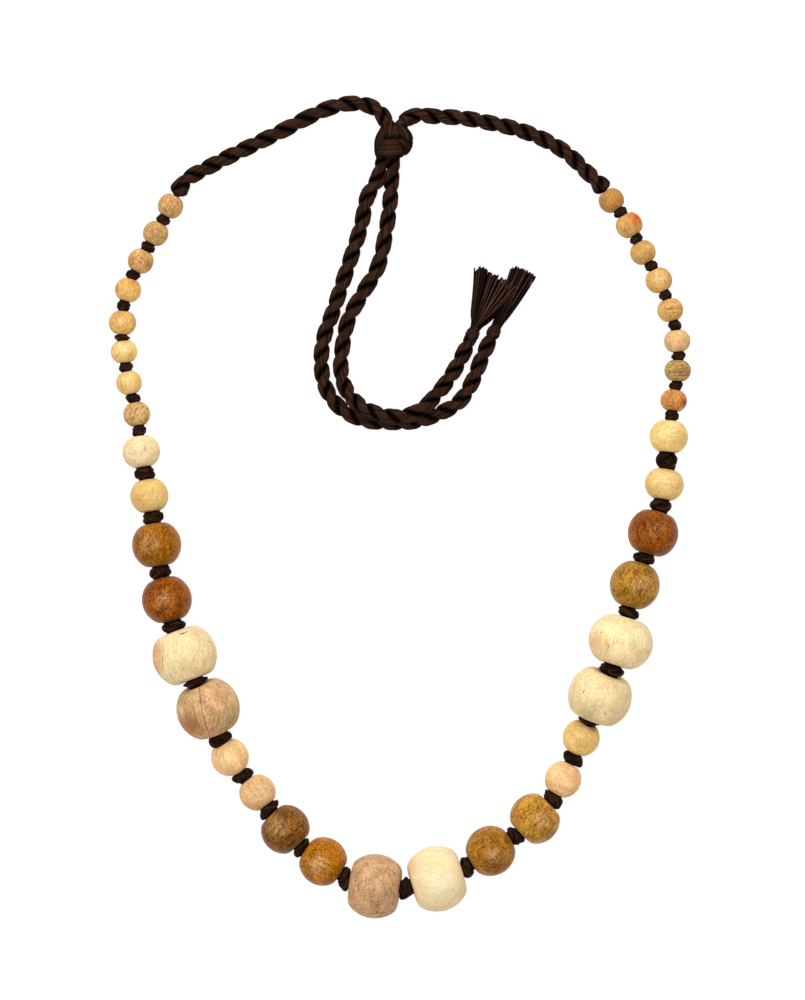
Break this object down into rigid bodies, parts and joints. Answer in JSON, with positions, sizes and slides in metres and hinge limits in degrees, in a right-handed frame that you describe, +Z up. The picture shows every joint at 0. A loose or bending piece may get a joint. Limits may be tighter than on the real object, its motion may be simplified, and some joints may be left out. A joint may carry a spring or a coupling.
{
  "type": "wooden bead necklace",
  "caption": "Long necklace of turned wooden beads in graded sizes, knotted on brown thread, with twisted neck cords, a sliding knot and two tasselled cord ends.",
  "frame": {"origin": "on the surface the necklace lies on, under the middle of the loop of beads and neck cords", "axes": "+Z up from the surface, +Y from the lowest beads towards the slide knot, +X to the right as seen from above"},
  "size_m": [0.1812, 0.2555, 0.0204],
  "materials": {
    "pale_wood": "sanded, matt to satin, light creamy sapwood",
    "tan_wood": "sanded, satin, sandy to rosy tan",
    "brown_wood": "waxed, soft gloss, golden to reddish brown",
    "brown_yarn": "dark brown twisted cotton yarn with a slight sheen"
  },
  "bodies": {
    "root": {"bead_left_01": "tan_wood", "bead_left_02": "tan_wood", "bead_left_03": "tan_wood", "bead_left_04": "pale_wood", "bead_left_05": "pale_wood", "bead_left_06": "pale_wood", "bead_left_07": "pale_wood", "bead_left_08": "tan_wood", "bead_left_09": "pale_wood", "bead_left_10": "pale_wood", "bead_left_11": "brown_wood", "bead_left_12": "brown_wood", "bead_left_13": "pale_wood", "bead_left_14": "tan_wood", "bead_left_15": "pale_wood", "bead_left_16": "pale_wood", "bead_left_17": "brown_wood", "bead_left_18": "brown_wood", "bead_left_19": "tan_wood", "bead_right_19": "pale_wood", "bead_right_18": "brown_wood", "bead_right_17": "brown_wood", "bead_right_16": "pale_wood", "bead_right_15": "pale_wood", "bead_right_14": "pale_wood", "bead_right_13": "pale_wood", "bead_right_12": "brown_wood", "bead_right_11": "brown_wood", "bead_right_10": "pale_wood", "bead_right_09": "pale_wood", "bead_right_08": "tan_wood", "bead_right_07": "tan_wood", "bead_right_06": "pale_wood", "bead_right_05": "pale_wood", "bead_right_04": "pale_wood", "bead_right_03": "tan_wood", "bead_right_02": "pale_wood", "bead_right_01": "tan_wood", "thread_left": "brown_yarn", "thread_right": "brown_yarn", "neck_cord_left": "brown_yarn", "neck_cord_right": "brown_yarn", "slide_knot": "brown_yarn", "tail_cord_left": "brown_yarn", "tail_cord_right": "brown_yarn", "tassel_left": "brown_yarn", "tassel_right": "brown_yarn"}
  },
  "joints": []
}
